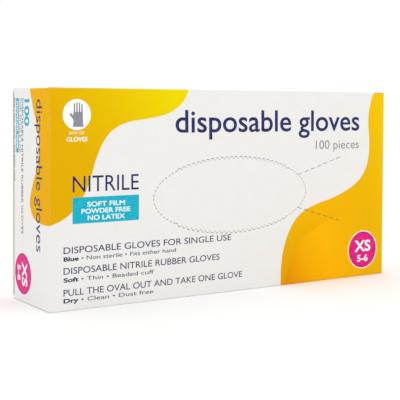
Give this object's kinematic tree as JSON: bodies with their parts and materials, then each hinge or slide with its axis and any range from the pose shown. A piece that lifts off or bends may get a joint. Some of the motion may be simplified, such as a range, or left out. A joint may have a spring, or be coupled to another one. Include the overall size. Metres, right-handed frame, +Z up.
{
  "type": "disposable glove dispenser carton",
  "caption": "Flat folding-board carton of disposable gloves with a tear-out oval window, a tear tab beside it, and tuck-in lids over dust flaps at both ends.",
  "frame": {"origin": "middle of the carton's footprint, on the surface it stands on", "axes": "+X along the carton's length, +Y from the dispensing face to the back, +Z up; the carton stands on one long narrow side"},
  "size_m": [0.24, 0.05, 0.12],
  "materials": {
    "coated_board": "clay-coated outside, satin; uncoated inside",
    "window_board": "clay-coated outside, satin; uncoated inside",
    "seam_adhesive": "dried dispersion glue",
    "nitrile": "matt thin film"
  },
  "bodies": {
    "carton": {"front_panel": "coated_board", "back_panel": "coated_board", "lower_side_panel": "coated_board", "upper_side_panel": "coated_board", "seam_flap": "coated_board", "seam_glue": "seam_adhesive", "glove_layer_01": "nitrile", "glove_layer_02": "nitrile", "glove_layer_03": "nitrile", "glove_layer_04": "nitrile", "glove_layer_05": "nitrile", "glove_layer_06": "nitrile", "glove_layer_07": "nitrile", "glove_layer_08": "nitrile", "glove_layer_09": "nitrile", "glove_layer_10": "nitrile", "glove_layer_11": "nitrile", "glove_layer_12": "nitrile", "glove_layer_13": "nitrile", "glove_layer_14": "nitrile", "glove_layer_15": "nitrile", "glove_layer_16": "nitrile", "glove_layer_17": "nitrile", "glove_layer_18": "nitrile", "glove_layer_19": "nitrile", "glove_layer_20": "nitrile"},
    "tear_window": {"tear_window": "window_board"},
    "tear_tab": {"tear_tab": "window_board"},
    "left_lid": {"left_lid": "coated_board"},
    "left_tuck_flap": {"left_tuck_flap": "coated_board"},
    "left_upper_dust_flap": {"left_upper_dust_flap": "coated_board"},
    "left_lower_dust_flap": {"left_lower_dust_flap": "coated_board"},
    "right_lid": {"right_lid": "coated_board"},
    "right_tuck_flap": {"right_tuck_flap": "coated_board"},
    "right_upper_dust_flap": {"right_upper_dust_flap": "coated_board"},
    "right_lower_dust_flap": {"right_lower_dust_flap": "coated_board"}
  },
  "joints": [
    {"name": "tear_window_pull", "type": "slide", "parent": "carton", "child": "tear_window", "axis": [0, -1, 0], "range_m": [0, 0.08]},
    {"name": "tear_tab_fold", "type": "hinge", "parent": "carton", "child": "tear_tab", "pos_m": [0.084, -0.025, 0.058], "axis": [0, 0, 1], "range_deg": [0, 150]},
    {"name": "left_lid_hinge", "type": "hinge", "parent": "carton", "child": "left_lid", "pos_m": [-0.12, -0.025, 0.06], "axis": [0, 0, 1], "range_deg": [0, 180]},
    {"name": "left_tuck_crease", "type": "hinge", "parent": "left_lid", "child": "left_tuck_flap", "pos_m": [-0.12, 0.0242, 0.06], "axis": [0, 0, 1], "range_deg": [0, 36]},
    {"name": "left_upper_dust_hinge", "type": "hinge", "parent": "carton", "child": "left_upper_dust_flap", "pos_m": [-0.1194, 0, 0.12], "axis": [0, 1, 0], "range_deg": [0, 50.5]},
    {"name": "left_lower_dust_hinge", "type": "hinge", "parent": "carton", "child": "left_lower_dust_flap", "pos_m": [-0.1194, 0, 0], "axis": [0, -1, 0], "range_deg": [0, 50.5]},
    {"name": "right_lid_hinge", "type": "hinge", "parent": "carton", "child": "right_lid", "pos_m": [0.12, -0.025, 0.06], "axis": [0, 0, -1], "range_deg": [0, 180]},
    {"name": "right_tuck_crease", "type": "hinge", "parent": "right_lid", "child": "right_tuck_flap", "pos_m": [0.12, 0.0242, 0.06], "axis": [0, 0, -1], "range_deg": [0, 36]},
    {"name": "right_upper_dust_hinge", "type": "hinge", "parent": "carton", "child": "right_upper_dust_flap", "pos_m": [0.1194, 0, 0.12], "axis": [0, -1, 0], "range_deg": [0, 50.5]},
    {"name": "right_lower_dust_hinge", "type": "hinge", "parent": "carton", "child": "right_lower_dust_flap", "pos_m": [0.1194, 0, 0], "axis": [0, 1, 0], "range_deg": [0, 50.5]}
  ],
  "couplings": [
    {"joint": "left_tuck_crease", "follows": "left_lid_hinge", "ratio": 0.2},
    {"joint": "left_upper_dust_hinge", "follows": "left_lid_hinge", "ratio": 0.28},
    {"joint": "left_lower_dust_hinge", "follows": "left_lid_hinge", "ratio": 0.28},
    {"joint": "right_tuck_crease", "follows": "right_lid_hinge", "ratio": 0.2},
    {"joint": "right_upper_dust_hinge", "follows": "right_lid_hinge", "ratio": 0.28},
    {"joint": "right_lower_dust_hinge", "follows": "right_lid_hinge", "ratio": 0.28}
  ]
}
